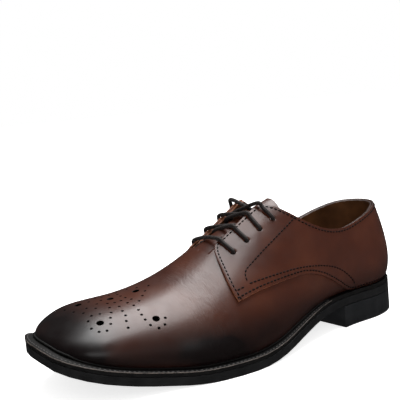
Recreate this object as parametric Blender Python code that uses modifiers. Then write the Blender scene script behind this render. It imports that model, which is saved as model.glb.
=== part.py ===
"""Plain-toe derby shoe with a punched toe, left foot, laced loosely and standing empty.

The floor is z = 0, the toe points to -Y and +X is the outer side of the foot.
The origin is the middle of the heel's tread.  Every piece is worked out from one last:
columns that rise from its feather edge to its ridge, found by a station from heel to toe.
"""
from collections import namedtuple
from functools import lru_cache
from math import cos, exp, pi, sin, sqrt

import bmesh
import bpy
from mathutils import Vector

# Driving sizes of the last, metres
LAST_LENGTH = 0.2762
BALL_WIDTH = 0.102
INSTEP_HEIGHT = 0.1050

# Bottom of the shoe
HEEL_LIFT = 0.016
TOE_SPRING = 0.0260
OUTER_TOE_DROP = 0.0028
INNER_TOE_LIFT = 0.0036
OUTSOLE_THICKNESS = 0.0055
WELT_THICKNESS = 0.0026
INSOLE_BOARD = 0.0020
INSOLE_CLEARANCE = 0.0010

# Leather
UPPER_WALL = 0.0015
QUARTER_WALL = 0.0012
TONGUE_WALL = 0.0020
CLEARANCE = 0.0003
QUARTER_CLEARANCE = 0.0005
BACK_SEAM_GAP = 0.0006

# Throat, facings and laces
THROAT_HALF_GAP = 0.0160
MEDIAL_LEAN = 0.0040
EYELET_COUNT = 4
EYELET_PITCH = 0.0114
EYELET_INSET = 0.0145
EYELET_RADIUS = 0.0020
TONGUE_HALF_WIDTH = 0.0320
TONGUE_TUCK = 0.0080
TONGUE_RISE = 0.0155
TONGUE_SINK = 0.0085
LATERAL_SPRING = 0.0010
MEDIAL_SPRING = 0.0024
LACE_RADIUS = 0.0014
LACE_CLEARANCE = 0.0006
LACE_SLACK = 0.0050

# Fans of columns that turn around the heel and the toe
HEEL_FAN = 0.040
TOE_FAN = 0.045

# Stations as shares of the last's length
HEEL_ROUND = 0.14
TOE_ROUND = 0.25
TOE_POWER = 2.25
BREAST = 0.237
SEAT_FRONT = 0.26
TREAD_BACK = 0.59
TREAD_FRONT = 0.67
THROAT = 0.581
MEDIAL_SKEW = 0.016
ROLL_START = 0.79
ROLL_END = 0.96

Plan = namedtuple("Plan", "station axis lateral medial")
PLAN = [  # shares of the ball width
    Plan(0.00, 0.000, 0.295, 0.295),
    Plan(0.10, 0.000, 0.290, 0.290),
    Plan(0.20, 0.005, 0.295, 0.290),
    Plan(0.32, 0.020, 0.350, 0.280),
    Plan(0.42, 0.035, 0.410, 0.280),
    Plan(0.52, 0.040, 0.475, 0.325),
    Plan(0.62, 0.030, 0.500, 0.400),
    Plan(0.70, 0.010, 0.490, 0.455),
    Plan(0.78, -0.020, 0.460, 0.460),
    Plan(0.88, -0.035, 0.470, 0.430),
    Plan(1.00, -0.025, 0.600, 0.360),
]
Ridge = namedtuple("Ridge", "station height offset fullness")
RIDGE = [  # height is a share of the instep height, offset of the ball width
    Ridge(0.00, 1.05, 0.00, 2.40),
    Ridge(0.20, 1.05, 0.00, 2.40),
    Ridge(0.36, 1.00, 0.00, 2.15),
    Ridge(0.44, 0.90, -0.01, 1.95),
    Ridge(0.52, 0.77, -0.02, 1.90),
    Ridge(0.60, 0.64, -0.03, 1.95),
    Ridge(0.68, 0.54, -0.04, 2.05),
    Ridge(0.76, 0.480, -0.05, 2.20),
    Ridge(0.84, 0.460, -0.06, 2.35),
    Ridge(0.92, 0.445, -0.06, 2.35),
    Ridge(1.00, 0.390, -0.05, 2.20),
]
Bulge = namedtuple("Bulge", "station depth height")
BULGE = [  # depth is a share of the ball width, height of the instep height
    Bulge(0.00, 0.040, 0.19),
    Bulge(0.25, 0.033, 0.19),
    Bulge(0.45, 0.029, 0.17),
    Bulge(0.70, 0.029, 0.12),
    Bulge(0.90, 0.023, 0.10),
    Bulge(1.00, 0.018, 0.09),
]
Topline = namedtuple("Topline", "station height")
TOPLINE = [  # shares of the instep height
    Topline(0.00, 0.78),
    Topline(0.05, 0.77),
    Topline(0.12, 0.72),
    Topline(0.20, 0.67),
    Topline(0.27, 0.69),
    Topline(0.34, 0.77),
    Topline(0.37, 0.82),
    Topline(0.40, 0.875),
    Topline(0.43, 0.89),
    Topline(0.46, 0.90),
]
Ledge = namedtuple("Ledge", "station width")
LEDGE_AT_TOE = 0.0080
LEDGE = [  # shares of the ledge at the toe, measured out from the last's edge
    Ledge(0.00, 0.66),
    Ledge(0.22, 0.60),
    Ledge(0.34, 0.60),
    Ledge(0.46, 0.74),
    Ledge(0.58, 0.92),
    Ledge(0.75, 0.96),
    Ledge(1.00, 1.00),
]
QuarterFoot = namedtuple("QuarterFoot", "station rise")
QUARTER_FOOT = [  # where the quarter's lower edge runs, as a share of the column's quarter turn
    QuarterFoot(0.00, 0.00),
    QuarterFoot(0.20, 0.00),
    QuarterFoot(0.27, 0.06),
    QuarterFoot(0.33, 0.14),
    QuarterFoot(0.40, 0.23),
    QuarterFoot(0.48, 0.31),
    QuarterFoot(0.54, 0.355),
    QuarterFoot(0.62, 0.375),
]
QuarterFront = namedtuple("QuarterFront", "rise reach")
QUARTER_FRONT = [  # how far the front edge reaches past the throat, a share of the eyelet pitch
    QuarterFront(0.00, 0.26),
    QuarterFront(0.35, 0.30),
    QuarterFront(0.60, 0.17),
    QuarterFront(0.85, -0.12),
    QuarterFront(0.95, -0.34),
    QuarterFront(1.00, -0.58),
]

HEEL_CELLS, WAIST_CELLS, VAMP_CELLS, TOE_CELLS = 8, 8, 7, 10
WALL_ROWS, FACING_ROWS, RIDGE_ROWS = 9, 3, 3
ACROSS_CELLS = 3
GIRTH_STEPS = 24
ROW_GROWTH = 1.35
CORD_STEPS = 2
NUDGE = 1e-5
LATERAL, MEDIAL = 1, -1

WALL_FOOT = OUTSOLE_THICKNESS + CLEARANCE + WELT_THICKNESS + CLEARANCE
QUARTER_LIFT = UPPER_WALL + QUARTER_CLEARANCE + QUARTER_WALL


def read(table, column, at):
    """Smooth curve through one column of a table, over the table's first column."""
    places = [row[0] for row in table]
    values = [getattr(row, column) for row in table]
    at = min(max(at, places[0]), places[-1])
    last = len(places) - 2
    i = min(sum(1 for place in places[1:] if place <= at), last)
    rises = [(values[k + 1] - values[k]) / (places[k + 1] - places[k]) for k in range(last + 1)]
    before = rises[i] if i == 0 else (rises[i - 1] + rises[i]) / 2
    after = rises[i] if i == last else (rises[i] + rises[i + 1]) / 2
    span = places[i + 1] - places[i]
    t = (at - places[i]) / span
    return (
        (2 * t**3 - 3 * t**2 + 1) * values[i]
        + (t**3 - 2 * t**2 + t) * span * before
        + (3 * t**2 - 2 * t**3) * values[i + 1]
        + (t**3 - t**2) * span * after
    )


def clamp(value, low=0.0, high=1.0):
    return min(max(value, low), high)


def ease(t):
    t = clamp(t)
    return t * t * (3 - 2 * t)


def end_round(q):
    """Closes the plan in a round heel and a blunter toe."""
    heel = clamp(1 - q / HEEL_ROUND)
    toe = clamp((q - (1 - TOE_ROUND)) / TOE_ROUND)
    return sqrt(1 - heel**2) * (1 - toe**TOE_POWER) ** (1 / TOE_POWER)


def edge_x(side, q):
    half = read(PLAN, "lateral" if side == LATERAL else "medial", q) * end_round(q)
    return BALL_WIDTH * (read(PLAN, "axis", q) + side * half)


def edge_direction(side, q):
    """Outward direction across the last's edge, as (x, along the shoe)."""
    if q in (0, 1):
        return 0.0, 1.0 if q == 1 else -1.0
    low, high = clamp(q - NUDGE), clamp(q + NUDGE)
    dx = edge_x(side, high) - edge_x(side, low)
    ds = (high - low) * LAST_LENGTH
    length = sqrt(dx * dx + ds * ds)
    return side * ds / length, -side * dx / length


def tread_z(q):
    """Underside of the outsole: heel lift, arch, flat tread and toe spring."""
    lift = HEEL_LIFT * ease((TREAD_BACK - q) / (TREAD_BACK - SEAT_FRONT))
    spring = TOE_SPRING * clamp((q - TREAD_FRONT) / (1 - TREAD_FRONT)) ** 2
    return lift + spring


def feather_z(q):
    return tread_z(q) + WALL_FOOT


def ridge_station(q):
    """Columns lean inward to a fan around the heel and the toe."""
    toe, heel = TOE_FAN / LAST_LENGTH, HEEL_FAN / LAST_LENGTH
    forward = clamp(q - (1 - 2 * toe)) ** 2 / (4 * toe)
    backward = clamp(2 * heel - q) ** 2 / (4 * heel)
    return q - forward + backward


Foot = namedtuple("Foot", "x s z top_x top_s power out_x out_s bulge height")


@lru_cache(maxsize=None)
def foot_of(side, q):
    """What a column needs from its station: its foot, its top and its bulge."""
    top = ridge_station(q)
    out_x, out_s = edge_direction(side, q)
    return Foot(
        edge_x(side, q),
        q * LAST_LENGTH,
        feather_z(q),
        BALL_WIDTH * read(RIDGE, "offset", top),
        top * LAST_LENGTH,
        2 / read(RIDGE, "fullness", q),
        out_x,
        out_s,
        BALL_WIDTH * read(BULGE, "depth", q),
        INSTEP_HEIGHT * read(BULGE, "height", q),
    )


def column(side, q, angle):
    """Point of the last (x, along, z): angle 0 at the feather edge, a quarter turn at the ridge."""
    foot = foot_of(side, q)
    inward = 1 - cos(angle) ** foot.power
    upward = sin(angle) ** foot.power
    x = foot.x + (foot.top_x - foot.x) * inward
    s = foot.s + (foot.top_s - foot.s) * inward
    z = foot.z + (INSTEP_HEIGHT * read(RIDGE, "height", s / LAST_LENGTH) - foot.z) * upward
    reach = (z - foot.z) / foot.height
    depth = foot.bulge * reach * exp(1 - reach) * (1 - upward**2)
    return Vector((x + depth * foot.out_x, s + depth * foot.out_s, z))


def normal(side, q, angle):
    step = 10 * NUDGE
    q = clamp(q, NUDGE, 1 - NUDGE)
    held = clamp(angle, 2 * step, pi / 2 - 2 * step)
    along = column(side, q + NUDGE, held) - column(side, q - NUDGE, held)
    up = column(side, q, held + step) - column(side, q, held - step)
    out = along.cross(up) * side
    return out.normalized()


def spring(side, q, angle, free):
    """How far the loosely laced facing stands up; a free front edge opens too."""
    low = 0.6 * eyelet_angle(side, q)
    rise = ease((angle - low) / (edge_angle(side, q) - low))
    behind = (THROAT - q) * LAST_LENGTH / EYELET_PITCH
    fade = ease((EYELET_COUNT + 3 - behind) / 3)
    front = clamp(0.25 + 0.75 * behind / EYELET_COUNT) * (1 if free else ease(behind / 1.5))
    height = LATERAL_SPRING if side == LATERAL else MEDIAL_SPRING
    return Vector((0, 0, height * rise * fade * front))


def to_world(point):
    return Vector((point.x, HEEL_CENTRE - point.y, point.z))


def on_last(side, q, angle, lift):
    """World point at a height of lift over the last; both sides agree where they meet."""
    out = normal(side, q, angle)
    if q in (0, 1) or angle == pi / 2:
        out = (out + normal(-side, q, angle)).normalized()
    point = column(side, q, angle) + out * lift
    point.z = max(point.z, foot_of(side, q).z)
    return to_world(point)


@lru_cache(maxsize=None)
def angle_at(side, q, from_ridge):
    """Angle up the column at this distance down it from the ridge."""
    above = column(side, q, pi / 2)
    walked = 0.0
    for i in range(1, GIRTH_STEPS + 1):
        angle = pi / 2 * (1 - i / GIRTH_STEPS)
        below = column(side, q, angle)
        length = (above - below).length
        if walked + length >= from_ridge:
            return angle + pi / 2 / GIRTH_STEPS * (1 - (from_ridge - walked) / length)
        walked += length
        above = below
    return 0.0


@lru_cache(maxsize=None)
def topline_angle(side, q):
    """The inner topline rises a little further back than the outer one."""
    low, high = 0.0, pi / 2
    skew = MEDIAL_SKEW if side == MEDIAL else 0.0
    for _ in range(24):
        middle = (low + high) / 2
        point = column(side, q, middle)
        station = point.y / LAST_LENGTH
        if point.z < INSTEP_HEIGHT * read(TOPLINE, "height", station + skew * ease(station / BREAST)):
            low = middle
        else:
            high = middle
    return low


def half_gap(side, q):
    """From the ridge to a facing's edge; the inner facing leans in as it rises."""
    risen = clamp((THROAT - q) * LAST_LENGTH / EYELET_PITCH / EYELET_COUNT)
    return THROAT_HALF_GAP - (MEDIAL_LEAN * risen if side == MEDIAL else 0.0)


def edge_angle(side, q):
    """Top of the wall: the topline, then the facing's edge, which runs on over the vamp."""
    facing = angle_at(side, q, half_gap(side, q))
    return facing if q >= THROAT else min(facing, topline_angle(side, q))


def eyelet_angle(side, q):
    row = angle_at(side, q, half_gap(side, q) + EYELET_INSET)
    return min(row, 0.85 * edge_angle(side, q))


def spread(start, end, cells, growth=1.0):
    return [start + (end - start) * (i / cells) ** growth for i in range(cells)]


def heel_stations(cells):
    return [HEEL_ROUND * (1 - cos(pi / 2 * i / cells)) for i in range(cells)]


def toe_stations(cells):
    return [1 - TOE_ROUND * (1 - cos(pi / 2 * (1 - i / cells))) for i in range(cells)] + [1.0]


def eyelet_station(row):
    """Row 1 is the lowest pair, one pitch behind the throat."""
    return THROAT - row * EYELET_PITCH / LAST_LENGTH


def facing_stations():
    first = EYELET_COUNT + 1
    return [eyelet_station(first - half / 2) for half in range(2 * first)]


def wall_stations():
    waist = spread(HEEL_ROUND, eyelet_station(EYELET_COUNT + 1), WAIST_CELLS)
    vamp = spread(THROAT, 1 - TOE_ROUND, VAMP_CELLS)
    return heel_stations(HEEL_CELLS) + waist + facing_stations() + vamp + toe_stations(TOE_CELLS)


def sole_stations():
    seat = spread(HEEL_ROUND, BREAST, 3)
    arch = spread(BREAST, TREAD_BACK, 11)
    tread = spread(TREAD_BACK, TREAD_FRONT, 2)
    ball = spread(TREAD_FRONT, 1 - TOE_ROUND, 3)
    return heel_stations(HEEL_CELLS) + seat + arch + tread + ball + toe_stations(TOE_CELLS)


def sole_edge(side, q, out):
    """Point of the sole's outline, this far out from the last's edge."""
    out_x, out_s = edge_direction(side, q)
    return edge_x(side, q) + out * out_x, q * LAST_LENGTH + out * out_s


def ledge(q):
    return LEDGE_AT_TOE * read(LEDGE, "width", q)


HEEL_CENTRE = (BREAST * LAST_LENGTH - ledge(0.0)) / 2


def material(name, colour, roughness):
    made = bpy.data.materials.new(name)
    made.use_nodes = True
    shader = made.node_tree.nodes["Principled BSDF"]
    shader.inputs["Base Color"].default_value = (*colour, 1.0)
    shader.inputs["Roughness"].default_value = roughness
    shader.inputs["Metallic"].default_value = 0.0
    return made


def new_object(name, mesh, look):
    made = bpy.data.objects.new(name, mesh)
    shoe.objects.link(made)
    made.data.materials.append(look)
    return made


def add_grid(bm, lines, flip):
    """Quads between neighbouring lines of points; returns the vertices by line and row."""
    verts = [[bm.verts.new(point) for point in line] for line in lines]
    for left, right in zip(verts, verts[1:]):
        for j in range(min(len(left), len(right)) - 1):
            loop = [left[j], right[j], right[j + 1], left[j + 1]]
            bm.faces.new(loop[::-1] if flip else loop)
    return verts


def punch(bm, centre, radius):
    """Opens a round hole in a grid of quads around one of its vertices."""
    ring, spokes = [], {edge.other_vert(centre) for edge in centre.link_edges}
    face = centre.link_faces[0]
    spoke = next(v for v in face.verts if v in spokes)
    for _ in range(4):
        corner = next(v for v in face.verts if v is not centre and v not in spokes)
        following = next(v for v in face.verts if v in spokes and v is not spoke)
        ring += [spoke, corner]
        face = next(f for f in centre.link_faces if following in f.verts and f is not face)
        spoke = following
    faces = list(centre.link_faces)
    facing = faces[0].normal.copy()
    rim = [bm.verts.new(centre.co + (v.co - centre.co).normalized() * radius) for v in ring]
    bmesh.ops.delete(bm, geom=faces, context="FACES_ONLY")
    bm.verts.remove(centre)
    for k in range(8):
        n = (k + 1) % 8
        made = bm.faces.new([ring[k], ring[n], rim[n], rim[k]])
        made.normal_update()
        if made.normal.dot(facing) < 0:
            made.normal_flip()


def toe_roll(point):
    """The toe is rolled a little: up at its inner corner, down at its outer one."""
    q = (HEEL_CENTRE - point.y) / LAST_LENGTH
    ahead = ease((q - ROLL_START) / (ROLL_END - ROLL_START))
    inward = ease(-point.x / (0.28 * BALL_WIDTH))
    outward = ease(point.x / (0.28 * BALL_WIDTH))
    return ahead * (INNER_TOE_LIFT * inward - OUTER_TOE_DROP * outward)


def finish(bm, name, look):
    for vert in bm.verts:
        vert.co.z += toe_roll(vert.co)
    bmesh.ops.remove_doubles(bm, verts=bm.verts[:], dist=1e-6)
    bmesh.ops.dissolve_degenerate(bm, edges=bm.edges[:], dist=1e-7)
    for face in bm.faces:
        face.smooth = True
    mesh = bpy.data.meshes.new(name)
    bm.to_mesh(mesh)
    bm.free()
    return new_object(name, mesh, look)


def thicken(made, wall):
    shell = made.modifiers.new("wall", "SOLIDIFY")
    shell.thickness = wall
    shell.offset = -1
    shell.use_even_offset = True
    shell.use_quality_normals = True
    return made


def slab(name, lines, height, look):
    """A plate: its underside is a grid, raised straight up by its height."""
    bm = bmesh.new()
    add_grid(bm, lines, flip=False)
    bmesh.ops.remove_doubles(bm, verts=bm.verts[:], dist=1e-6)
    bmesh.ops.recalc_face_normals(bm, faces=bm.faces[:])
    if sum(face.normal.z for face in bm.faces) > 0:
        bmesh.ops.reverse_faces(bm, faces=bm.faces[:])
    under = bm.faces[:]
    raised = bmesh.ops.extrude_face_region(bm, geom=under, use_keep_orig=True)
    top = [item for item in raised["geom"] if isinstance(item, bmesh.types.BMVert)]
    bmesh.ops.translate(bm, verts=top, vec=(0, 0, height))
    bmesh.ops.recalc_face_normals(bm, faces=bm.faces[:])
    return finish(bm, name, look)


def wall_angles(side, q, foot):
    """Rows up a wall: closer near its foot, then from the eyelets' row to its top edge."""
    eyelet, edge = eyelet_angle(side, q), edge_angle(side, q)
    return spread(foot, eyelet, WALL_ROWS, ROW_GROWTH) + spread(eyelet, edge, FACING_ROWS) + [edge]


def wall_line(side, q, to_ridge):
    angles = wall_angles(side, q, 0.0)
    if to_ridge:
        angles = angles[:-1] + spread(angles[-1], pi / 2, RIDGE_ROWS) + [pi / 2]
    if to_ridge:
        return [on_last(side, q, angle, UPPER_WALL) for angle in angles]
    return [on_last(side, q, a, UPPER_WALL) + spring(side, q, a, False) for a in angles]


def is_eyelet(q):
    return any(abs(q - eyelet_station(row + 1)) < NUDGE for row in range(EYELET_COUNT))


def build_upper(look):
    """Vamp and lined quarters, one wall: open at the collar, the throat and underneath."""
    bm = bmesh.new()
    stations = wall_stations()
    holes = []
    for side in (LATERAL, MEDIAL):
        lines = []
        for q in stations:
            vamp = q >= THROAT - NUDGE
            lines.append(wall_line(side, q, vamp))
        verts = add_grid(bm, lines, flip=side == LATERAL)
        holes += [line[WALL_ROWS] for q, line in zip(stations, verts) if is_eyelet(q)]
    bm.normal_update()
    for centre in holes:
        punch(bm, centre, EYELET_RADIUS)
    bmesh.ops.remove_doubles(bm, verts=bm.verts[:], dist=1e-6)
    join_toe(bm)
    return thicken(finish(bm, "upper", look), UPPER_WALL)


def join_toe(bm):
    """The last point of the ridge has only two quads around it: they become one."""
    tip = [v for v in bm.verts if not v.is_boundary and len(v.link_faces) == 2]
    bmesh.ops.dissolve_verts(bm, verts=tip)


def build_quarter(name, side, look):
    """Outer quarter with its facing, laid over the upper's wall."""
    bm = bmesh.new()
    seam = BACK_SEAM_GAP / 2 / (BALL_WIDTH * read(PLAN, "lateral", 0.0))
    start = HEEL_ROUND * (1 - sqrt(1 - seam**2))
    behind = [q for q in wall_stations() if q < THROAT - NUDGE][1:]
    lines = []
    for q in [start] + behind + [THROAT]:
        lean = ease((q - eyelet_station(1)) / (THROAT - eyelet_station(1)))
        lines.append(quarter_line(side, q, lean))
    verts = add_grid(bm, lines, flip=side == LATERAL)
    bm.normal_update()
    for q, line in zip([start] + behind, verts):
        if is_eyelet(q):
            punch(bm, line[WALL_ROWS], EYELET_RADIUS)
    return thicken(finish(bm, name, look), QUARTER_WALL)


def quarter_line(side, q, lean):
    """One line up the quarter; near the throat it leans into the shape of the front edge."""
    count = WALL_ROWS + FACING_ROWS
    points = []
    for j in range(count + 1):
        reach = read(QUARTER_FRONT, "reach", j / count) * EYELET_PITCH / LAST_LENGTH
        at = q + lean * reach
        foot = pi / 2 * max(read(QUARTER_FOOT, "rise", at), 0.0)
        angle = wall_angles(side, at, foot)[j]
        points.append(on_last(side, at, angle, QUARTER_LIFT) + spring(side, at, angle, True))
    return points


def build_tongue(look):
    """Strip under the facings, tucked below the vamp and rising past the top eyelets."""
    bm = bmesh.new()
    front = THROAT + TONGUE_TUCK / LAST_LENGTH
    back = eyelet_station(EYELET_COUNT) - TONGUE_RISE / LAST_LENGTH
    cells = 16
    lines = []
    for i in range(cells + 1):
        q = back + (front - back) * i / cells
        end = sqrt(1 - clamp(1 - i / 4) ** 3) if i < 4 else 1.0
        width = TONGUE_HALF_WIDTH * (0.72 + 0.28 * end)
        sink = CLEARANCE + TONGUE_SINK * ease((THROAT - q) / (THROAT - back))
        sides = []
        for side in (LATERAL, MEDIAL):
            angles = spread(angle_at(side, q, width), pi / 2, 4) + [pi / 2]
            sides.append([on_last(side, q, angle, -sink) for angle in angles])
        lines.append(sides[0] + sides[1][-2::-1])
    add_grid(bm, lines, flip=True)
    return thicken(finish(bm, "tongue", look), TONGUE_WALL)


def plate_lines(stations, out, z):
    """Lines across the sole, from its outer edge to its inner edge."""
    lines = []
    for q in stations:
        (x1, s1), (x2, s2) = sole_edge(LATERAL, q, out(q)), sole_edge(MEDIAL, q, out(q))
        line = []
        for j in range(ACROSS_CELLS + 1):
            t = j / ACROSS_CELLS
            line.append(to_world(Vector((x1 + (x2 - x1) * t, s1 + (s2 - s1) * t, z(q)))))
        lines.append(line)
    return lines


def build_outsole(look):
    return slab("outsole", plate_lines(sole_stations(), ledge, tread_z), OUTSOLE_THICKNESS, look)


def build_insole(look):
    height = 2 * CLEARANCE + WELT_THICKNESS + INSOLE_BOARD - CLEARANCE
    lines = plate_lines(
        sole_stations(),
        lambda q: -INSOLE_CLEARANCE,
        lambda q: tread_z(q) + OUTSOLE_THICKNESS + CLEARANCE,
    )
    return slab("insole", lines, height, look)


def build_heel(look):
    stations = [q for q in sole_stations() if q < BREAST - NUDGE] + [BREAST]
    lines = plate_lines(stations, ledge, lambda q: 0.0)
    return slab("heel", lines, HEEL_LIFT - CLEARANCE, look)


def build_welt(look):
    """Ring between the outsole and the wall; its inner edge lies around the insole."""
    lines = []
    stations = sole_stations()
    for side, order in ((LATERAL, stations), (MEDIAL, stations[-2::-1])):
        for q in order:
            z = tread_z(q) + OUTSOLE_THICKNESS + CLEARANCE
            line = []
            for t in (0.0, 1.0):
                x, s = sole_edge(side, q, ledge(q) * t)
                line.append(to_world(Vector((x, s, z))))
            lines.append(line)
    return slab("welt", lines, WELT_THICKNESS, look)


def over_last(side, q, from_ridge, lift):
    return on_last(side, q, angle_at(side, q, from_ridge), lift)


def on_facing(side, q, from_edge):
    """Middle of a lace that lies on the facing, this far back from the facing's edge."""
    angle = angle_at(side, q, half_gap(side, q) + from_edge)
    lift = QUARTER_LIFT + LACE_CLEARANCE + LACE_RADIUS
    return on_last(side, q, angle, lift) + spring(side, q, angle, True)


def in_throat(side, q, from_ridge, lift):
    """Middle of a lace that lies this high over the tongue."""
    angle = angle_at(side, q, from_ridge) if from_ridge else pi / 2
    return on_last(side, q, angle, LACE_CLEARANCE + LACE_RADIUS + lift)


def strand_points(side, row, crest):
    """From the far side of the throat up and over the facing's edge to an eyelet's outside."""
    q = eyelet_station(row)
    pitch = EYELET_PITCH / LAST_LENGTH
    half = half_gap(-side, q)
    return [
        in_throat(-side, q + 0.55 * pitch, half - 4.0 * LACE_RADIUS, 0.0),
        in_throat(-side, q + 0.47 * pitch, half * 0.30, 0.3 * crest),
        in_throat(side, q + 0.34 * pitch, half * 0.20, 0.8 * crest),
        on_facing(side, q + 0.18 * pitch, 0.0) + Vector((0, 0, crest)),
        on_facing(side, q + 0.06 * pitch, EYELET_INSET * 0.50) + Vector((0, 0, 0.2 * crest)),
        on_facing(side, q, EYELET_INSET * 0.95),
    ]


def bar_points():
    """Lowest lace: straight across both facings, from eyelet to eyelet."""
    q = eyelet_station(1)
    near = [on_facing(LATERAL, q, EYELET_INSET * share) for share in (0.95, 0.5, 0.0)]
    far = [on_facing(MEDIAL, q, EYELET_INSET * share) for share in (0.0, 0.5, 0.95)]
    middle = (near[-1] + far[0]) / 2
    middle.z = max(middle.z, in_throat(LATERAL, q, 0.0, LACE_CLEARANCE).z)
    return near + [middle] + far


def tube(points, radius):
    """Round cord through the points, as a mesh with welded caps."""
    fine = []
    for i in range(len(points) - 1):
        before = points[max(i - 1, 0)]
        after = points[min(i + 2, len(points) - 1)]
        a, b = points[i], points[i + 1]
        for k in range(CORD_STEPS):
            t = k / CORD_STEPS
            m0, m1 = (b - before) / 2, (after - a) / 2
            fine.append(
                a * (2 * t**3 - 3 * t**2 + 1) + m0 * (t**3 - 2 * t**2 + t)
                + b * (3 * t**2 - 2 * t**3) + m1 * (t**3 - t**2)
            )
    fine.append(points[-1])
    curve = bpy.data.curves.new("cord", "CURVE")
    curve.dimensions = "3D"
    curve.bevel_depth = radius
    curve.bevel_resolution = 2
    curve.use_fill_caps = True
    spline = curve.splines.new("POLY")
    spline.points.add(len(fine) - 1)
    for point, place in zip(spline.points, fine):
        point.co = (*place, 1.0)
    holder = bpy.data.objects.new("cord", curve)
    shoe.objects.link(holder)
    evaluated = holder.evaluated_get(bpy.context.evaluated_depsgraph_get())
    mesh = bpy.data.meshes.new_from_object(evaluated)
    bpy.data.objects.remove(holder)
    bm = bmesh.new()
    bm.from_mesh(mesh)
    bmesh.ops.remove_doubles(bm, verts=bm.verts[:], dist=1e-5)
    bm.to_mesh(mesh)
    bm.free()
    return mesh


def build_crossing(name, row, crest, look):
    """Two strands that cross over the throat, joined where they meet."""
    first = new_object(name, tube(strand_points(LATERAL, row, crest), LACE_RADIUS), look)
    second = bpy.data.objects.new(name + "_strand", tube(strand_points(MEDIAL, row, crest), LACE_RADIUS))
    cutters.objects.link(second)
    second.hide_render = True
    second.display_type = "WIRE"
    joined = first.modifiers.new("joined", "BOOLEAN")
    joined.operation = "UNION"
    joined.solver = "EXACT"
    joined.object = second
    return first


for old in list(bpy.data.objects):
    bpy.data.objects.remove(old)

shoe = bpy.data.collections.new("derby_shoe")
cutters = bpy.data.collections.new("guides")
bpy.context.scene.collection.children.link(shoe)
bpy.context.scene.collection.children.link(cutters)

brown = material("brown_leather", (0.060, 0.025, 0.017), 0.30)
tan = material("tan_lining", (0.220, 0.110, 0.045), 0.60)
black = material("black_sole", (0.012, 0.012, 0.013), 0.50)
cord = material("waxed_cord", (0.018, 0.014, 0.013), 0.60)

build_outsole(black)
build_heel(black)
build_welt(black)
build_insole(tan)
build_upper(brown)
build_quarter("quarter_lateral", LATERAL, brown)
build_quarter("quarter_medial", MEDIAL, brown)
build_tongue(brown)
new_object("lace_bar", tube(bar_points(), LACE_RADIUS), cord)
build_crossing("lace_cross_lower", 2, 0.0010, cord)
build_crossing("lace_cross_middle", 3, 0.0020, cord)
build_crossing("lace_cross_upper", 4, LACE_SLACK, cord)
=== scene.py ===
import math

import bmesh
import bpy
from mathutils import Matrix, Vector
from mathutils.bvhtree import BVHTree


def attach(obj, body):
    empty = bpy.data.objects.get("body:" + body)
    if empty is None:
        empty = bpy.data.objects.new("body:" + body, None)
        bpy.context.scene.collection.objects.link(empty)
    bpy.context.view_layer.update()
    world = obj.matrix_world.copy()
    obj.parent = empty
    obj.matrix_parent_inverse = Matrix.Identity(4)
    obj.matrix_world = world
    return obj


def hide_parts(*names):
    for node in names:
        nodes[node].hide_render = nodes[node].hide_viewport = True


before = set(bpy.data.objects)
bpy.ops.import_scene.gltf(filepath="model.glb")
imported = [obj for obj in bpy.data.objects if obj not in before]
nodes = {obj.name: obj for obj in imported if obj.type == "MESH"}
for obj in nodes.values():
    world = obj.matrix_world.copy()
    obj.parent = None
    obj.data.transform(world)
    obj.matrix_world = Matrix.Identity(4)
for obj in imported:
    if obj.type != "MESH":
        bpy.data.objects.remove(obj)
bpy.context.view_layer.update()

mm = 0.001
bpy.ops.object.select_all(action="DESELECT")
print("frame loaded:", len(nodes), "solids")


# Camera: a longish lens from the front of the outer side, a little above the shoe
camera = {
    "place": (0.4458, -0.4133, 0.1663),
    "looks": (-0.8317, 0.5361, -0.1445),
    "up": (-0.0706, 0.1561, 0.9852),
    "focalLength": 71.5,  # mm on a 36 mm sensor
    "sensor": 36.0,
    "rise": 0.0536,  # share of the frame's width
}


def makeCamera(spec):
    bpy.ops.object.camera_add(location=spec["place"])
    made = bpy.context.object
    back = -Vector(spec["looks"]).normalized()
    right = Vector(spec["up"]).cross(back).normalized()
    turn = Matrix((right, back.cross(right), back)).transposed()
    made.matrix_world = Matrix.Translation(spec["place"]) @ turn.to_4x4()
    made.data.sensor_width = spec["sensor"]
    made.data.lens = spec["focalLength"]
    made.data.shift_y = spec["rise"]
    bpy.context.scene.camera = made
    made.select_set(False)


makeCamera(camera)
print("camera set")


# Materials
# sRGB hex to linear
def hexColour(code):
    parts = [int(code[k:k + 2], 16) / 255 for k in (0, 2, 4)]
    return tuple(p / 12.92 if p <= 0.04045 else ((p + 0.055) / 1.055) ** 2.4 for p in parts) + (1.0,)


def addNode(tree, kind, links=None, inputs=None, **settings):
    made = tree.nodes.new(kind)
    for name, value in settings.items():
        setattr(made, name, value)
    for name, value in (inputs or {}).items():
        made.inputs[name].default_value = value
    for name, source in (links or {}).items():
        tree.links.new(source, made.inputs[name])
    return made


def newMaterial(name, **sockets):
    made = bpy.data.materials.new(name)
    made.use_nodes = True
    shader = made.node_tree.nodes["Principled BSDF"]
    for socket, value in sockets.items():
        shader.inputs[socket.replace("_", " ")].default_value = value
    return made, made.node_tree, shader


# noise scale whose features are about this wide
def perMetre(millimetres):
    return 1000.0 / millimetres


calf = {  # polished calf: dyed brown, burnished nearly black at the toe; darker near the sole all round, heel included, as painted shade of the upper's foot, partly real heel burnish
    "dark": "2d140c",
    "mid": "3c1b10",
    "warm": "502817",
    # near black: the toe's real burnish, also used as painted shade near the sole
    "burnish": "0c0404",
    "patchSize": 60.0,  # mm, cloudy hand dyeing
    "poreSize": 0.9,  # real pores are a third of this and would not show
    "wrinkleSize": 2.6,
    "glazeSize": 9.0,
    "roughness": (0.32, 0.42),
    "toeFrom": -0.192,
    "toeTo": -0.243,
    "soleFrom": 0.046,
    "soleTo": 0.018,
    "flexMiddle": -0.152,
    "flexHalf": 0.020,
}


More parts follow.
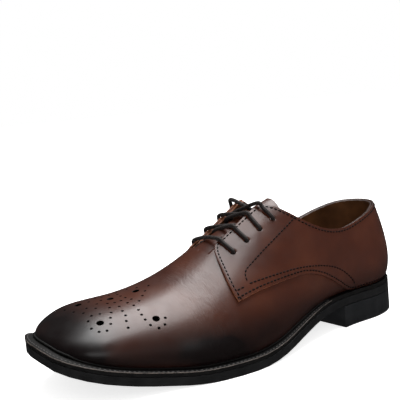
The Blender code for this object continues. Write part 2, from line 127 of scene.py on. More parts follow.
# aniline-dyed calf, glazed: deep uneven brown, fine pores, soft wide reflections
def makeCalf(spec):
    made, tree, shader = newMaterial(
        "polishedCalf", IOR=1.5, Specular_IOR_Level=0.35, Coat_Weight=0.25, Coat_Roughness=0.24
    )
    place = addNode(tree, "ShaderNodeTexCoord").outputs["Object"]
    axes = addNode(tree, "ShaderNodeSeparateXYZ", {"Vector": place}).outputs
    cloud = addNode(
        tree, "ShaderNodeTexNoise", {"Vector": place},
        {"Scale": perMetre(spec["patchSize"]), "Detail": 4.0, "Roughness": 0.55},
    )
    dye = addNode(tree, "ShaderNodeValToRGB", {"Fac": cloud.outputs["Fac"]})
    dye.color_ramp.elements[0].position = 0.25
    dye.color_ramp.elements[0].color = hexColour(spec["dark"])
    dye.color_ramp.elements[1].position = 0.80
    dye.color_ramp.elements[1].color = hexColour(spec["warm"])
    middle = dye.color_ramp.elements.new(0.52)
    middle.color = hexColour(spec["mid"])
    toe = addNode(
        tree, "ShaderNodeMapRange", {"Value": axes["Y"]},
        {"From Min": spec["toeFrom"], "From Max": spec["toeTo"]},
        interpolation_type="SMOOTHSTEP",
    )
    # painted shade: the upper darkens towards the sole, where its foot lies in shadow
    low = addNode(
        tree, "ShaderNodeMapRange", {"Value": axes["Z"]},
        {"From Min": spec["soleFrom"], "From Max": spec["soleTo"], "To Max": 0.8},
        interpolation_type="SMOOTHSTEP",
    )
    ends = addNode(
        tree, "ShaderNodeMath", {0: toe.outputs[0], 1: low.outputs[0]}, operation="MAXIMUM"
    )
    uneven = addNode(
        tree, "ShaderNodeMath", {0: ends.outputs[0], 1: cloud.outputs["Fac"]}, operation="MULTIPLY"
    )
    dark = addNode(
        tree, "ShaderNodeMath", {0: uneven.outputs[0]}, {1: 2.1}, operation="MULTIPLY", use_clamp=True
    )
    colour = addNode(
        tree, "ShaderNodeMix", {"Factor": dark.outputs[0], 6: dye.outputs["Color"]},
        data_type="RGBA",
    )
    colour.inputs[7].default_value = hexColour(spec["burnish"])
    tree.links.new(colour.outputs[2], shader.inputs["Base Color"])
    glaze = addNode(
        tree, "ShaderNodeTexNoise", {"Vector": place},
        {"Scale": perMetre(spec["glazeSize"]), "Detail": 3.0},
    )
    rough = addNode(
        tree, "ShaderNodeMapRange", {"Value": glaze.outputs["Fac"]},
        {"From Min": 0.3, "From Max": 0.7, "To Min": spec["roughness"][0], "To Max": spec["roughness"][1]},
    )
    tree.links.new(rough.outputs[0], shader.inputs["Roughness"])
    pores = addNode(
        tree, "ShaderNodeTexNoise", {"Vector": place},
        {"Scale": perMetre(spec["poreSize"]), "Detail": 3.0, "Roughness": 0.6},
    )
    poreBump = addNode(
        tree, "ShaderNodeBump", {"Height": pores.outputs["Fac"]},
        {"Strength": 0.06, "Distance": 0.15 * mm},
    )
    # flex creases run across the forepart, so the noise is stretched along X
    stretched = addNode(
        tree, "ShaderNodeMapping", {"Vector": place}, {"Scale": (0.28, 1.0, 0.45)}
    )
    wrinkle = addNode(
        tree, "ShaderNodeTexNoise", {"Vector": stretched.outputs[0]},
        {"Scale": perMetre(spec["wrinkleSize"]), "Detail": 5.0, "Roughness": 0.6, "Distortion": 0.6},
    )
    fromFlex = addNode(
        tree, "ShaderNodeMath", {0: axes["Y"]}, {1: spec["flexMiddle"]}, operation="SUBTRACT"
    )
    distance = addNode(tree, "ShaderNodeMath", {0: fromFlex.outputs[0]}, operation="ABSOLUTE")
    flex = addNode(
        tree, "ShaderNodeMapRange", {"Value": distance.outputs[0]},
        {"From Min": spec["flexHalf"], "From Max": 0.2 * spec["flexHalf"], "To Min": 0.0, "To Max": 0.55},
        interpolation_type="SMOOTHSTEP",
    )
    creases = addNode(
        tree, "ShaderNodeBump",
        {"Height": wrinkle.outputs["Fac"], "Strength": flex.outputs[0], "Normal": poreBump.outputs[0]},
        {"Distance": 0.5 * mm},
    )
    tree.links.new(creases.outputs[0], shader.inputs["Normal"])
    return made


# a surface with cloudy colour, uneven gloss and a fine relief
def makePlain(name, dark, light, size, roughness, bumpSize, bumpDepth, **sockets):
    made, tree, shader = newMaterial(name, **sockets)
    place = addNode(tree, "ShaderNodeTexCoord").outputs["Object"]
    cloud = addNode(
        tree, "ShaderNodeTexNoise", {"Vector": place}, {"Scale": perMetre(size), "Detail": 6.0}
    )
    colour = addNode(tree, "ShaderNodeValToRGB", {"Fac": cloud.outputs["Fac"]})
    colour.color_ramp.elements[0].position = 0.30
    colour.color_ramp.elements[0].color = hexColour(dark)
    colour.color_ramp.elements[1].position = 0.70
    colour.color_ramp.elements[1].color = hexColour(light)
    tree.links.new(colour.outputs["Color"], shader.inputs["Base Color"])
    rough = addNode(
        tree, "ShaderNodeMapRange", {"Value": cloud.outputs["Fac"]},
        {"From Min": 0.3, "From Max": 0.7, "To Min": roughness[0], "To Max": roughness[1]},
    )
    tree.links.new(rough.outputs[0], shader.inputs["Roughness"])
    grain = addNode(
        tree, "ShaderNodeTexNoise", {"Vector": place}, {"Scale": perMetre(bumpSize), "Detail": 4.0}
    )
    bump = addNode(
        tree, "ShaderNodeBump", {"Height": grain.outputs["Fac"]},
        {"Strength": 0.4, "Distance": bumpDepth * mm},
    )
    tree.links.new(bump.outputs[0], shader.inputs["Normal"])
    return made


# waxed round cord: braided, so its ridges run in two crossing spirals along the UV map
def makeCord():
    made, tree, shader = newMaterial("waxedCord", Sheen_Weight=0.05, Specular_IOR_Level=0.25)
    around = addNode(tree, "ShaderNodeUVMap").outputs["UV"]
    waves = []
    for lean in (1.0, -1.0):
        turned = addNode(
            tree, "ShaderNodeMapping", {"Vector": around}, {"Scale": (1.0, lean, 1.0)}
        )
        waves.append(addNode(
            tree, "ShaderNodeTexWave", {"Vector": turned.outputs[0]},
            {"Scale": 1.0, "Distortion": 0.0}, bands_direction="DIAGONAL",
        ))
    braid = addNode(
        tree, "ShaderNodeMath", {0: waves[0].outputs["Fac"], 1: waves[1].outputs["Fac"]},
        operation="MAXIMUM",
    )
    # painted shade: darker in the braid's grooves, lighter on its ridges
    colour = addNode(tree, "ShaderNodeValToRGB", {"Fac": braid.outputs[0]})
    colour.color_ramp.elements[0].position = 0.35
    colour.color_ramp.elements[0].color = hexColour("090605")
    colour.color_ramp.elements[1].position = 0.9
    colour.color_ramp.elements[1].color = hexColour("1f1613")
    tree.links.new(colour.outputs["Color"], shader.inputs["Base Color"])
    shader.inputs["Roughness"].default_value = 0.55
    bump = addNode(
        tree, "ShaderNodeBump", {"Height": braid.outputs[0]}, {"Strength": 0.6, "Distance": 0.25 * mm}
    )
    tree.links.new(bump.outputs[0], shader.inputs["Normal"])
    return made


calfLeather = makeCalf(calf)
# below: name, dark, light, patch size in mm, roughness range, relief's size and depth in mm
# vegetable-tanned lining leather: golden tan, dull
liningLeather = makePlain("vegetableTannedLining", "4a2c12", "6b4320", 14.0, (0.50, 0.65), 0.7, 0.08)
# cut leather: the undyed fibre shows as a dull tan line
rawEdge = makePlain("cutLeatherEdge", "5a2c18", "8a5230", 3.0, (0.55, 0.7), 0.4, 0.10)
# folded and painted leather: a dark brown, slightly shiny line
paintedEdge = makePlain("paintedCollarEdge", "1c0d08", "34190f", 5.0, (0.45, 0.6), 0.5, 0.08)
# the inside of a punched hole: nearly black and dull, partly the dark backing, partly painted shade in the
# recess
holeBackingAndShade = makePlain("holeBackingAndShade", "0b0605", "150c0a", 2.0, (0.8, 0.9), 0.5, 0.05)
# moulded rubber, its edge waxed: black with a soft shine
soleRubber = makePlain("polishedSoleEdge", "0b0b0c", "141415", 10.0, (0.38, 0.50), 0.6, 0.05)
# stacked heel, inked and buffed: a little lighter and smoother than the sole
heelRubber = makePlain("stackedHeel", "101113", "191a1c", 8.0, (0.34, 0.46), 0.5, 0.05)
# welt leather, inked: black and dull
weltLeather = makePlain(
    "blackWelt", "070606", "0f0d0c", 4.0, (0.6, 0.75), 0.5, 0.12, Specular_IOR_Level=0.25
)
# waxed thread, nearly black
darkThread = makePlain(
    "waxedThread", "050303", "0a0605", 1.0, (0.6, 0.7), 0.3, 0.05, Specular_IOR_Level=0.15
)
# grey welt thread: a pale dotted line on the black welt
greyThread = makePlain("greyWeltThread", "343230", "545150", 1.0, (0.6, 0.7), 0.3, 0.05)
# painted highlight: a thin light line along the welt's upper edge
weltEdgeHighlight = makePlain("paintedWeltHighlight", "2a2522", "5a504a", 3.0, (0.4, 0.5), 0.5, 0.05)
braidedCord = makeCord()
print("materials made")


# Dressing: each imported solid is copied, smoothed and given its leather
def selectOnly(thing):
    bpy.ops.object.select_all(action="DESELECT")
    thing.select_set(True)
    bpy.context.view_layer.objects.active = thing


# a imported solid as clean quads, its sharp edges held by creases
def smoothCopy(node, name, sharpAngle=50.0):
    piece = bpy.data.objects.new(name, nodes[node].data.copy())
    bpy.context.scene.collection.objects.link(piece)
    piece.data.materials.clear()
    selectOnly(piece)
    bpy.ops.object.mode_set(mode="EDIT")
    bpy.ops.mesh.select_all(action="SELECT")
    bpy.ops.mesh.remove_doubles(threshold=0.02 * mm)
    bpy.ops.mesh.tris_convert_to_quads(face_threshold=math.radians(40), shape_threshold=math.radians(80))
    bpy.ops.mesh.select_all(action="DESELECT")
    bpy.ops.mesh.edges_select_sharp(sharpness=math.radians(sharpAngle))
    bpy.ops.transform.edge_crease(value=1.0)
    bpy.ops.mesh.select_all(action="DESELECT")
    bpy.ops.object.mode_set(mode="OBJECT")
    return piece


def subdivide(piece, levels):
    selectOnly(piece)
    finer = piece.modifiers.new("finer", "SUBSURF")
    finer.levels = levels
    finer.render_levels = levels
    bpy.ops.object.modifier_apply(modifier=finer.name)


def roundEdges(piece, width, segments=2, angle=50.0):
    selectOnly(piece)
    eased = piece.modifiers.new("eased", "BEVEL")
    eased.width = width
    eased.segments = segments
    eased.limit_method = "ANGLE"
    eased.angle_limit = math.radians(angle)
    eased.harden_normals = False
    bpy.ops.object.modifier_apply(modifier=eased.name)
    bpy.ops.object.shade_smooth_by_angle(angle=math.radians(60))


def keepPiece(piece, slotName, *replaced):
    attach(piece, "root")
    if replaced:
        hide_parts(*replaced)
    piece.select_set(False)


shoeMiddle = {"height": 0.034, "back": 0.004, "front": -0.215}  # a line inside the shoe


def facesOutward(centre, normal):
    along = min(max(centre.y, shoeMiddle["front"]), shoeMiddle["back"])
    inside = Vector((0.0, along, shoeMiddle["height"]))
    return (centre - inside).dot(normal) > 0


collarFrom = -0.082  # behind here a rim is folded and painted, in front of it cut


# outer skin, lining and edges of a thin shell, told apart by what lies a wall's thickness behind
def paintShell(piece, wall, looks):
    for look in looks:
        piece.data.materials.append(look)
    bm = bmesh.new()
    bm.from_mesh(piece.data)
    tree = BVHTree.FromBMesh(bm)
    for face in bm.faces:
        centre = face.calc_center_median()
        hit = tree.ray_cast(centre - face.normal * 0.1 * mm, -face.normal, 2.0 * wall)
        skin = hit[0] is not None and abs(hit[1].dot(face.normal)) > 0.5
        side = 0 if facesOutward(centre, face.normal) else 1
        rim = 3 if centre.y > collarFrom else 2
        face.material_index = side if skin else rim
    bm.to_mesh(piece.data)
    bm.free()


shells = {
    "upper": {"name": "upperWall", "wall": 1.5 * mm, "levels": 2},
    "quarter_lateral": {"name": "outerQuarter", "wall": 1.2 * mm, "levels": 2, "ease": 0.30 * mm},
    "quarter_medial": {"name": "innerQuarter", "wall": 1.2 * mm, "levels": 2, "ease": 0.30 * mm},
    "tongue": {"name": "tongueFlap", "wall": 2.0 * mm, "levels": 2, "ease": 0.40 * mm},
}


def dressShell(node, spec):
    piece = smoothCopy(node, spec["name"])
    paintShell(piece, spec["wall"], (calfLeather, liningLeather, rawEdge, paintedEdge))
    subdivide(piece, spec["levels"])
    return piece


dressed = {node: dressShell(node, spec) for node, spec in shells.items()}
print("shells smoothed")


# Rails: lines on a surface that stitches follow
def surfaceTree(piece, isSkin=None):
    bm = bmesh.new()
    bm.from_mesh(piece.data)
    if isSkin:
        bm.normal_update()
        hidden = [face for face in bm.faces if not isSkin(face)]
        bmesh.ops.delete(bm, geom=hidden, context="FACES")
    tree = BVHTree.FromBMesh(bm)
    bm.free()
    return tree


def isOuter(face):
    return face.material_index == 0


def isTop(face):
    return face.normal.z > 0.6


# closed loops of points around the faces for which isSkin is true, longest first
def rimLoops(piece, isSkin):
    bm = bmesh.new()
    bm.from_mesh(piece.data)
    bm.normal_update()
    links = {}
    spots = {}
    for edge in bm.edges:
        if len(edge.link_faces) == 2 and isSkin(edge.link_faces[0]) != isSkin(edge.link_faces[1]):
            for here in edge.verts:
                links.setdefault(here.index, set()).add(edge.other_vert(here).index)
                spots[here.index] = here.co.copy()
    bm.free()
    loops = []
    while links:
        loop = [next(iter(links))]
        while True:
            onward = [index for index in links.pop(loop[-1]) if index in links]
            if not onward:
                break
            loop.append(onward[0])
        loops.append([spots[index] for index in loop])
    return sorted(loops, key=railLength, reverse=True)


def corner(points, direction):
    way = Vector(direction)
    return max(range(len(points)), key=lambda k: points[k].dot(way))


# the shorter way round a closed loop
def between(points, first, last):
    count = len(points)
    ahead = [points[(first + k) % count] for k in range((last - first) % count + 1)]
    behind = [points[(first - k) % count] for k in range((first - last) % count + 1)]
    return min(ahead, behind, key=railLength)


def railLength(points):
    return sum((b - a).length for a, b in zip(points, points[1:]))


def resample(points, pitch):
    spaced, left = [points[0]], pitch
    for a, b in zip(points, points[1:]):
        span = (b - a).length
        done = 0.0
        while span - done >= left > 0:
            done += left
            spaced.append(a.lerp(b, done / span))
            left = pitch
        left -= span - done
    return spaced


# the rail moved in from a rim, across the surface
def inset(points, tree, distance):
    moved = []
    for k, spot in enumerate(points):
        along = (points[min(k + 1, len(points) - 1)] - points[max(k - 1, 0)]).normalized()
        _, normal, _, _ = tree.find_nearest(spot)
        tries = []
        for sign in (1, -1):
            target = spot + normal.cross(along) * distance * sign
            found, _, _, gap = tree.find_nearest(target)
            tries.append((gap, found))
        moved.append(min(tries, key=lambda item: item[0])[1])
    for _ in range(3):
        moved = [moved[0]] + [
            (a + 2 * b + c) / 4 for a, b, c in zip(moved, moved[1:], moved[2:])
        ] + [moved[-1]]
    return moved


# a smooth curve through every point
def curveThrough(points, steps=8):
    ends = [2 * points[0] - points[1]] + points + [2 * points[-1] - points[-2]]
    fine = []
    for a, b, c, d in zip(ends, ends[1:], ends[2:], ends[3:]):
        for k in range(steps):
            t = k / steps
            fine.append(0.5 * (
                2 * b + (c - a) * t + (2 * a - 5 * b + 4 * c - d) * t**2
                + (3 * b - a - 3 * c + d) * t**3
            ))
    return fine + [points[-1]]


# (distance in front of the origin, height) in mm, laid on the shoe's side
def fromSide(points, tree, side):
    laid = []
    for ahead, height in points:
        start = Vector((0.2 * side, -ahead * mm, height * mm))
        spot = tree.ray_cast(start, Vector((-side, 0, 0)))[0]
        if spot is not None:
            laid.append(spot)
    return laid


# Punched toe: round holes in the outer leather, mirrored about the toe's middle line
punches = {
    "depth": 0.9 * mm,
    "small": 0.95 * mm,
    "large": 2.4 * mm,
    "sides": 16,
    "steepest": 0.35,  # no hole where the leather's normal points up less than this
}
# (distance in front of the origin, X) along the toe's middle line, mm
middleLine = [(165, 1.8), (200, -2.8), (210, -9.5), (230, -12.0)]
# (distance from the middle line, distance in front of the origin), mm
largeHoles = [(0, 180), (0, 197.5), (0, 216.5), (32.3, 217.5), (34, 185.5)]
smallHoles = [
    (0, 171), (5.5, 176.5), (10.5, 181), (15.5, 186), (19, 191.5),  # back scallop
    (24.5, 191.5), (29, 192), (33, 192), (37, 191), (39.5, 187), (38.5, 182.5), (35, 180),  # side rosette
    (5.5, 190), (10.5, 188.5), (14, 193), (8.5, 194.5), (9, 199), (16, 199.5),
    (22, 200.5), (27, 201), (32.5, 203), (38, 204.5), (0, 203), (9, 203), (0, 190.5),
    (17, 205), (24, 207), (30.5, 210), (35.5, 212.5), (39.5, 217), (38.5, 221.5),  # front rosette
    (34, 224), (27, 222.5), (23, 218.5), (24, 213.5),
    (7.5, 208), (0, 209.5), (15.5, 212), (11, 216), (16.5, 220.5), (9, 223.5), (0, 225.5),
]


def toePlace(offset, ahead, side):
    before, after = next(pair for pair in zip(middleLine, middleLine[1:]) if ahead <= pair[1][0])
    share = (ahead - before[0]) / (after[0] - before[0])
    middle = before[1] + share * (after[1] - before[1])
    return Vector(((middle + side * offset) * mm, -ahead * mm, 0.0))


def punchToe(piece):
    bm = bmesh.new()
    bm.from_mesh(piece.data)
    tree = BVHTree.FromBMesh(bm)
    bm.free()
    cutters = []
    for holes, radius in ((largeHoles, punches["large"]), (smallHoles, punches["small"])):
        for offset, ahead in holes:
            for side in (1, -1) if offset else (1,):
                above = toePlace(offset, ahead, side) + Vector((0, 0, 0.2))
                spot, normal, _, _ = tree.ray_cast(above, Vector((0, 0, -1)))
                if spot is None or normal.z < punches["steepest"]:
                    continue
                bpy.ops.mesh.primitive_cylinder_add(
                    vertices=punches["sides"], radius=radius, depth=2 * punches["depth"], location=spot,
                    rotation=normal.to_track_quat("Z", "Y").to_euler(),
                )
                cutters.append(bpy.context.object)
    bpy.ops.object.select_all(action="DESELECT")
    for cutter in cutters:
        cutter.select_set(True)
    bpy.context.view_layer.objects.active = cutters[0]
    bpy.ops.object.join()
    tool = bpy.context.object
    tool.name = "punchTool"
    bpy.ops.object.transform_apply(location=True, rotation=True, scale=True)
    # the hole's walls and floor take the near-black painted shade
    tool.data.materials.append(holeBackingAndShade)
    selectOnly(piece)
    bpy.ops.object.shade_smooth_by_angle(angle=math.radians(40))
    whole = bpy.data.objects.new("unpunched", piece.data.copy())
    bpy.context.scene.collection.objects.link(whole)
    cut = piece.modifiers.new("punched", "BOOLEAN")
    cut.operation = "DIFFERENCE"
    cut.solver = "EXACT"
    cut.use_self = True
    cut.object = tool
    cut.material_mode = "TRANSFER"
    bpy.ops.object.modifier_apply(modifier=cut.name)
    smooth = piece.modifiers.new("evenShading", "DATA_TRANSFER")
    smooth.object = whole
    smooth.use_loop_data = True
    smooth.data_types_loops = {"CUSTOM_NORMAL"}
    smooth.loop_mapping = "POLYINTERP_NEAREST"
    bpy.ops.object.modifier_apply(modifier=smooth.name)
    bpy.data.objects.remove(whole)
    bpy.data.objects.remove(tool)


quarters = {"quarter_lateral": 1, "quarter_medial": -1}  # and the side each is on
skinLoops = {node: rimLoops(dressed[node], isOuter) for node in quarters}
skinTrees = {node: surfaceTree(dressed[node], isOuter) for node in skinLoops}
upperLoops = rimLoops(dressed["upper"], isOuter)[:3]
footLine = min(upperLoops, key=lambda loop: sum(spot.z for spot in loop) / len(loop))
punchToe(dressed["upper"])
for node, spec in shells.items():
    if "ease" in spec:
        roundEdges(dressed[node], spec["ease"])
print("toe punched")


# Soles: edges held by creases, then eased
soles = {
    "outsole": {"name": "outsoleSlab", "look": soleRubber, "slot": "black_sole", "ease": 0.3 * mm},
    "heel": {"name": "heelBlock", "look": heelRubber, "slot": "black_sole", "ease": 0.5 * mm},
    "welt": {"name": "weltStrip", "look": weltLeather, "slot": "black_welt", "ease": 0.2 * mm},
    "insole": {"name": "insoleSock", "look": liningLeather, "slot": "tan_lining", "ease": 0.3 * mm},
}
for node, spec in soles.items():
    dressed[node] = smoothCopy(node, spec["name"], 40.0)
    dressed[node].data.materials.append(spec["look"])
    subdivide(dressed[node], 2)
    roundEdges(dressed[node], spec["ease"], 3, 40.0)
print("soles dressed")


# Stitches: one thread loop, modelled once and copied along every rail
stitch = {"length": 2.4 * mm, "radius": 0.50 * mm, "pitch": 3.0 * mm}
weltStitch = {"length": 2.0 * mm, "radius": 0.34 * mm, "pitch": 3.0 * mm}


def modelStitch(spec):
    bpy.ops.mesh.primitive_cylinder_add(
        vertices=8, radius=spec["radius"], depth=spec["length"], end_fill_type="TRIFAN",
        rotation=(0, math.pi / 2, 0),
    )
    made = bpy.context.object
    bpy.ops.object.transform_apply(location=True, rotation=True, scale=True)
    bpy.ops.object.mode_set(mode="EDIT")
    for share in (0.30, 0.0, -0.30):
        bpy.ops.mesh.select_all(action="SELECT")
        bpy.ops.mesh.bisect(plane_co=(share * spec["length"], 0, 0), plane_no=(1, 0, 0))
    bpy.ops.object.mode_set(mode="OBJECT")
    for vertex in made.data.vertices:  # the ends dive into their holes
        reach = abs(vertex.co.x) / (spec["length"] / 2)
        vertex.co.z -= spec["radius"] * 1.1 * reach**3
        vertex.co.y *= 1 - 0.35 * reach**2
    return made


# a row of stitches along a rail, joined as one piece
def sew(name, rail, tree, spec, look, slotName):
    master = modelStitch(spec)
    row = bmesh.new()
    spots = resample(rail, spec["pitch"])
    for here, after in zip(spots, spots[1:]):
        middle = (here + after) / 2
        found, normal, _, _ = tree.find_nearest(middle)
        along = (after - here).normalized()
        across = normal.cross(along).normalized()
        turn = Matrix((along, across, normal)).transposed().to_4x4()
        copyMesh = master.data.copy()
        copyMesh.transform(Matrix.Translation(found + normal * 0.15 * spec["radius"]) @ turn)
        row.from_mesh(copyMesh)
        bpy.data.meshes.remove(copyMesh)
    mesh = bpy.data.meshes.new(name)
    row.to_mesh(mesh)
    row.free()
    bpy.data.objects.remove(master)
    made = bpy.data.objects.new(name, mesh)
    bpy.context.scene.collection.objects.link(made)
    mesh.materials.append(look)
    selectOnly(made)
    bpy.ops.object.shade_smooth()
    keepPiece(made, slotName)


seams = {
    "edgeInset": 2.2 * mm,
    # (distance in front of the origin, height), mm
    "facingLine": [
        (69, 85.5), (80, 80), (91, 74.3), (102, 68.7), (112, 63.3),
        (119, 59.5), (121, 57.5), (122.3, 54.3), (122, 51.2),
    ],
    "secondRow": [
        (122, 51.2), (112.5, 52.3), (99.5, 53.2), (85.5, 53.6), (70.5, 52.6),
        (54, 49.6), (40.5, 45), (30, 38.2), (23, 31.2), (21, 27.5),
    ],
    "bar": [(131.7, 48.7), (128.5, 49.4), (124.3, 50.3)],
}
outlines = {}
for node, side in quarters.items():
    quarter = dressed[node]
    tree = skinTrees[node]
    rim, *holes = skinLoops[node]
    frontLow = corner(rim, (0, -1, -0.8))
    frontHigh = corner(rim, (-0.6 * side, -1, 0.3))
    topFront = corner(rim, (-0.2 * side, -0.12, 1))
    backLow = corner(rim, (0, 0.35, -1))
    backTop = corner(rim, (0, 1, 0.6))
    outlines[node] = (tree, between(rim, frontHigh, topFront), holes)
    rows = {
        "frontRow": inset(between(rim, frontLow, frontHigh), tree, seams["edgeInset"]),
        "facingRow": inset(between(rim, frontHigh, topFront), tree, seams["edgeInset"]),
        "topRow": inset(between(rim, topFront, backTop), tree, seams["edgeInset"]),
        "lowerRow": inset(between(rim, frontLow, backLow), tree, seams["edgeInset"]),
        "backRow": inset(between(rim, backTop, backLow), tree, seams["edgeInset"]),
    }
    for name in ("facingLine", "secondRow", "bar"):
        rows[name] = curveThrough(fromSide(seams[name], tree, side))
    for name, rail in rows.items():
        sew(quarter.name + name[0].upper() + name[1:], rail, tree, stitch, darkThread, "waxed_cord")
print("quarters sewn")


# the part of a closed loop in front of the waist, from side to side
def inFront(loop, waist):
    count = len(loop)
    onside = [point.y < waist for point in loop]
    first = next(k for k in range(count) if onside[k] and not onside[k - 1])
    run = []
    while onside[(first + len(run)) % count] and len(run) < count:
        run.append(loop[(first + len(run)) % count])
    return run


# a round rod along a line, as a mesh
def makeRod(name, points, radius, resolution):
    outline = bpy.data.curves.new(name, "CURVE")
    outline.dimensions = "3D"
    outline.bevel_depth = radius
    outline.bevel_resolution = resolution
    outline.use_fill_caps = True
    spline = outline.splines.new("POLY")
    spline.points.add(len(points) - 1)
    for point, place in zip(spline.points, points):
        point.co = (*place, 1.0)
    made = bpy.data.objects.new(name, outline)
    bpy.context.scene.collection.objects.link(made)
    selectOnly(made)
    bpy.ops.object.convert(target="MESH")
    bpy.ops.object.shade_smooth()
    return bpy.context.object


def makeBead(name, points, radius, look, slotName):
    made = makeRod(name, points, radius, 2)
    made.data.materials.append(look)
    keepPiece(made, slotName)


bottom = {
    "waist": -0.048,
    "seamInset": 2.3 * mm,
    "rand": 0.8 * mm,
    "randHeight": 0.5 * mm,
    "randOut": 0.4 * mm,
    "randPitch": 3 * mm,
    "toeCentre": -0.17,  # the toe's foot line curves round this place
    "edgeBead": 0.28 * mm,
}
weltTree = surfaceTree(dressed["welt"], isTop)
weltRim = rimLoops(dressed["welt"], isTop)[0]
forepart = inFront(weltRim, bottom["waist"])
seam = inset(forepart, weltTree, bottom["seamInset"])
sew("weltStitching", seam, weltTree, weltStitch, greyThread, "black_welt")
# its light colour is a painted highlight on the welt's edge
makeBead("weltEdgeBead", forepart, bottom["edgeBead"], weltEdgeHighlight, "black_welt")
lifted = []
for spot in resample(inFront(footLine, bottom["waist"]), bottom["randPitch"]):
    outward = Vector((spot.x, min(spot.y - bottom["toeCentre"], 0.0), 0.0)).normalized()
    lifted.append(spot + outward * bottom["randOut"] + Vector((0, 0, bottom["randHeight"])))
makeBead("weltRand", lifted, bottom["rand"], weltLeather, "black_welt")
print("welt sewn")


# Lace: one waxed cord through all eyelets, from hidden end to hidden end
lace = {
    "radius": 1.4 * mm,
    "wallBelow": 3.4 * mm,  # quarter and upper together
    "clearance": 0.25 * mm,
    # from the lowest eyelet to the highest, on side 1 and side -1
    "crest": {  # how far a strand stands off its facing's edge
        1: (0.2 * mm, 0.3 * mm, 0.3 * mm, 1.5 * mm),
        -1: (0.1 * mm, 0.2 * mm, 0.4 * mm, 3.5 * mm),
    },
    "drift": {1: (0.1, 0.15, 0.2, 0.0), -1: (0.5, 0.5, 0.5, 0.6)},  # rows a strand climbs on its facing
    "reach": (1.6, 2.6, 3.5, 3.8),  # row at which a strand dives under the opposite facing
    "rise": 0.8 * mm,
    "barRise": 1.5 * mm,
    "holeGirth": (4 * mm, 30 * mm),  # an eyelet's girth lies between these
    "braid": 3.2 * mm,
}


# centre, outward normal and facing edge beside each eyelet, lowest first
def eyeletsOf(node):
    tree, facing, holes = outlines[node]
    least, most = lace["holeGirth"]
    found = [hole for hole in holes if least < railLength(hole + hole[:1]) < most]
    middles = [sum(hole, Vector()) / len(hole) for hole in found]
    middles.sort(key=lambda spot: spot.y)
    along = (middles[-1] - middles[0]).normalized()
    row = []
    for centre in middles:
        _, normal, _, _ = tree.find_nearest(centre + Vector((0, 0, 2 * mm)))
        edge = min(facing, key=lambda spot: abs((spot - centre).dot(along)))
        row.append((centre, normal, edge))
    return row


eyelets = {1: eyeletsOf("quarter_lateral"), -1: eyeletsOf("quarter_medial")}
print("eyelets found:", [len(row) for row in eyelets.values()])


# point between an eyelet and its facing's edge, share 0 at the eyelet
def halfWay(side, row, share):
    centre, normal, edge = eyelets[side][row - 1]
    return centre.lerp(edge, share), normal


def over(side, row, share, lift):
    spot, normal = halfWay(side, row, share)
    return spot + normal * (lace["radius"] + lace["clearance"] + lift)


def under(side, row, share):
    spot, normal = halfWay(side, row, share)
    return spot - normal * (lace["wallBelow"] + lace["radius"])


# a place between or beyond two eyelets' rows
def rowPlace(kind, side, row, share, *lift):
    low = min(max(int(row), 1), 3)
    return kind(side, low, share, *lift).lerp(kind(side, low + 1, share, *lift), row - low)


# out of an eyelet and up over its own facing's edge
def leave(side, row):
    crest = lace["crest"][side][row - 1]
    drift = lace["drift"][side][row - 1]
    centre, normal, _ = eyelets[side][row - 1]
    return [
        centre - normal * 3.0 * mm, centre + normal * 0.6 * mm,
        rowPlace(over, side, row + 0.3 * drift, 0.35, 0.1 * crest),
        rowPlace(over, side, row + 0.7 * drift, 0.7, 0.5 * crest),
        rowPlace(over, side, row + drift, 1.0, crest),
    ]


# from an eyelet over the throat and under the opposite facing
def strand(side, row):
    reach = lace["reach"][row - 1]
    start = leave(side, row)
    lip = rowPlace(under, -side, reach, 1.0)
    rise = start[-1].lerp(lip, 0.45) + Vector((0, 0, lace["rise"]))
    return start + [rise, lip, rowPlace(under, -side, reach, 0.5)]


# the lowest eyelets are joined by a bar over the throat; from them each half
# climbs inside, then from side to side, to a hidden end
def lacePoints():
    halves = []
    for first in (1, -1):
        side = -first
        points = [
            rowPlace(under, first, 1.2, 0.5), rowPlace(under, first, 1.35, 1.0),
            rowPlace(under, side, 1.65, 1.0), rowPlace(under, side, 1.9, 0.3),
        ]
        for row in range(2, 5):
            points += strand(side, row)
            side = -side
            if row < 4:
                points.append(rowPlace(under, side, row + 0.95, 0.1))
        halves.append(points)
    near, far = leave(1, 1), leave(-1, 1)
    middle = (near[-1] + far[-1]) / 2 + Vector((0, 0, lace["barRise"]))
    return halves[0][::-1] + near + [middle] + far[::-1] + halves[1]


def makeLace():
    points = curveThrough(lacePoints(), 6)
    made = makeRod("shoelace", points, lace["radius"], 3)
    made.data.materials.append(braidedCord)
    if made.data.uv_layers:
        turns = railLength(points) / lace["braid"]
        for loop in made.data.uv_layers[0].data:
            loop.uv = (loop.uv[0] * turns, loop.uv[1] * 2.0)
    print("lace length, m:", round(railLength(points), 3))
    keepPiece(made, "waxed_cord", "lace_bar", "lace_cross_lower", "lace_cross_middle", "lace_cross_upper")


makeLace()
print("laced")

for node, spec in shells.items():
    keepPiece(dressed[node], "brown_leather", node)
for node, spec in soles.items():
    keepPiece(dressed[node], spec["slot"], node)


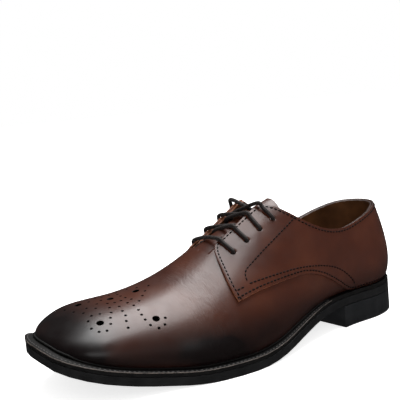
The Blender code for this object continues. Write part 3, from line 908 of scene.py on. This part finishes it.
# Studio: pale floor, large soft lights
studio = {
    "floorSize": 60.0,
    "floorGlow": 0.75,  # keeps the paper white away from the lamps
    "worldFill": 0.50,
    "worldMirrored": 0.05,  # dim in reflections, so only the softboxes shine
    "lights": [
        # name, place, aim, width, length, watts
        ("overheadSoftbox", (-0.10, 0.12, 1.00), (0.0, -0.16, 0.03), 0.80, 0.80, 17.0),
        ("frontFill", (1.10, -0.60, 0.70), (0.0, -0.10, 0.04), 0.9, 0.6, 2.5),
    ],
}


def makeStudio(spec):
    bpy.ops.mesh.primitive_plane_add(size=spec["floorSize"], location=(0, 0, 0))
    floor = bpy.context.object
    floor.name = "studioFloor"
    # matt backdrop paper, lit from all round: white without a shine
    paper = makePlain(
        "paperFloor", "efeeed", "f5f4f3", 300.0, (0.8, 0.9), 2.0, 0.02,
        Emission_Color=hexColour("ffffff"), Emission_Strength=spec["floorGlow"],
    )
    floor.data.materials.append(paper)
    floor.visible_glossy = False
    floor.select_set(False)
    for name, place, aim, width, length, power in spec["lights"]:
        bpy.ops.object.light_add(type="AREA", location=place)
        lamp = bpy.context.object
        lamp.name = name
        lamp.data.shape = "RECTANGLE"
        lamp.data.size = width
        lamp.data.size_y = length
        lamp.data.energy = power
        lamp.rotation_euler = (Vector(aim) - Vector(place)).to_track_quat("-Z", "Y").to_euler()
        lamp.select_set(False)
    world = bpy.data.worlds.new("studioWorld")
    world.use_nodes = True
    tree = world.node_tree
    rays = addNode(tree, "ShaderNodeLightPath").outputs
    fill = addNode(
        tree, "ShaderNodeMapRange", {"Value": rays["Is Glossy Ray"]},
        {"To Min": spec["worldFill"], "To Max": spec["worldMirrored"]},
    )
    strength = addNode(
        tree, "ShaderNodeMath", {0: fill.outputs[0], 1: rays["Is Camera Ray"]}, operation="MAXIMUM"
    )
    tree.links.new(strength.outputs[0], tree.nodes["Background"].inputs["Strength"])
    tree.nodes["Background"].inputs["Color"].default_value = (1.0, 1.0, 1.0, 1.0)
    bpy.context.scene.world = world


makeStudio(studio)
bpy.context.scene.view_settings.view_transform = "Standard"
print("studio lit")
